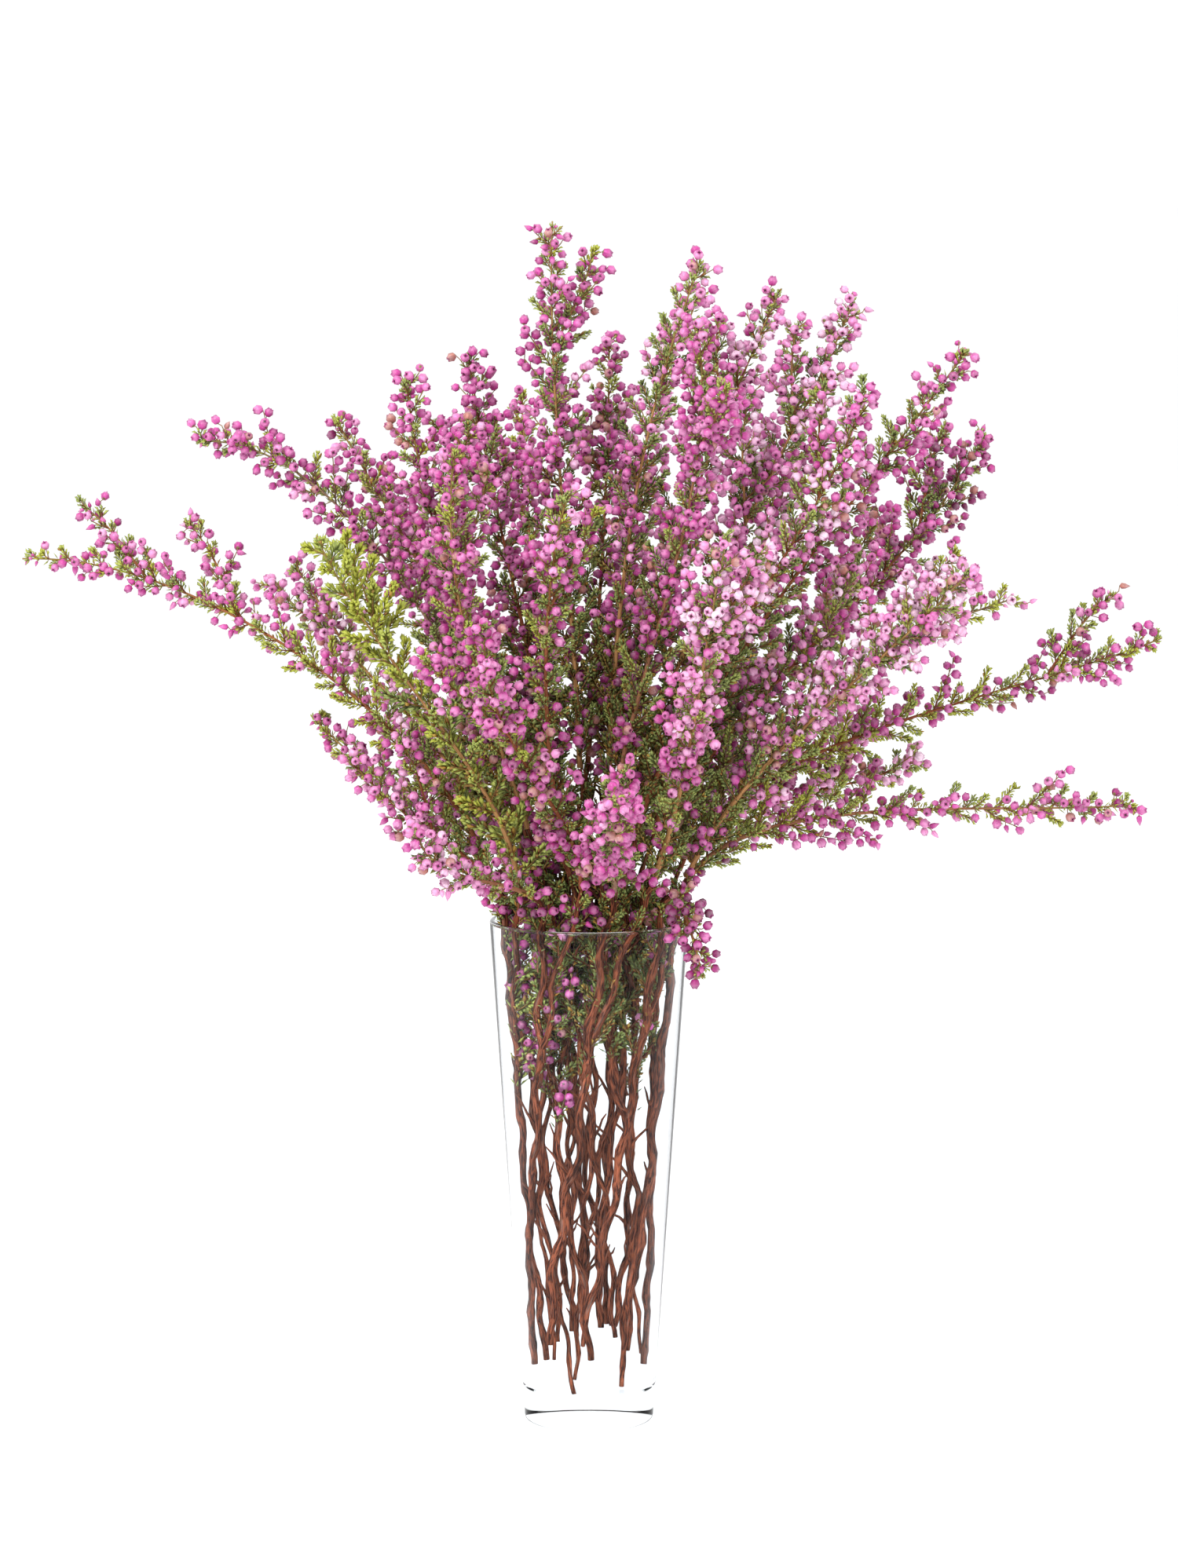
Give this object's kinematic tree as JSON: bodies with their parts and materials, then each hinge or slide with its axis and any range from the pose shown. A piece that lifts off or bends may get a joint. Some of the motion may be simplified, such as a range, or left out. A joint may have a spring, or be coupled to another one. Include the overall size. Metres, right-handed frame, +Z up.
{
  "type": "cut heather in a glass vase",
  "caption": "Bunch of cut bell heather standing in a tall, clear, tapering glass vase, with woody stems and dense sprays of pink bells and green needle leaves.",
  "frame": {"origin": "middle of the vase's foot, on the surface that it stands on", "axes": "+Z up along the vase's axis; -Y is the front as pictured; +X is to the right in that view"},
  "size_m": [0.4523, 0.2753, 0.4723],
  "materials": {
    "glass": "gloss",
    "wood": "matte",
    "magenta_heather": "matte",
    "lilac_heather": "matte",
    "deep_heather": "matte",
    "leafy_heather": "matte"
  },
  "bodies": {
    "root": {"glass_vase": "glass", "spray_inner_1": "lilac_heather", "spray_inner_2": "lilac_heather", "spray_inner_3_high": "magenta_heather", "spray_inner_3_low": "magenta_heather", "spray_inner_4": "magenta_heather", "spray_inner_5": "leafy_heather", "spray_middle_1_high": "deep_heather", "spray_middle_1_low": "lilac_heather", "spray_middle_2": "magenta_heather", "spray_middle_3_high": "magenta_heather", "spray_middle_3_low": "lilac_heather", "spray_middle_4": "magenta_heather", "spray_middle_5_high": "magenta_heather", "spray_middle_5_low": "magenta_heather", "spray_middle_6": "magenta_heather", "spray_middle_7_high": "magenta_heather", "spray_middle_7_low": "leafy_heather", "spray_middle_8_high": "magenta_heather", "spray_middle_8_low": "lilac_heather", "spray_outer_1_high": "magenta_heather", "spray_outer_1_low": "magenta_heather", "spray_outer_2_high": "magenta_heather", "spray_outer_2_low": "lilac_heather", "spray_outer_3_high": "magenta_heather", "spray_outer_3_low": "deep_heather", "spray_outer_4_high": "lilac_heather", "spray_outer_4_low": "magenta_heather", "spray_outer_5_high": "magenta_heather", "spray_outer_5_low": "magenta_heather", "spray_outer_6_high": "leafy_heather", "spray_outer_6_low": "lilac_heather", "spray_outer_7_high": "magenta_heather", "spray_outer_7_low": "lilac_heather", "spray_outer_8_high": "lilac_heather", "spray_outer_8_low": "magenta_heather", "spray_outer_9_high": "lilac_heather", "spray_outer_9_low": "deep_heather", "stem_inner_1": "wood", "stem_inner_2": "wood", "stem_inner_3": "wood", "stem_inner_4": "wood", "stem_inner_5": "wood", "stem_middle_1": "wood", "stem_middle_2": "wood", "stem_middle_3": "wood", "stem_middle_4": "wood", "stem_middle_5": "wood", "stem_middle_6": "wood", "stem_middle_7": "wood", "stem_middle_8": "wood", "stem_outer_1": "wood", "stem_outer_2": "wood", "stem_outer_3": "wood", "stem_outer_4": "wood", "stem_outer_5": "wood", "stem_outer_6": "wood", "stem_outer_7": "wood", "stem_outer_8": "wood", "stem_outer_9": "wood"}
  },
  "joints": []
}
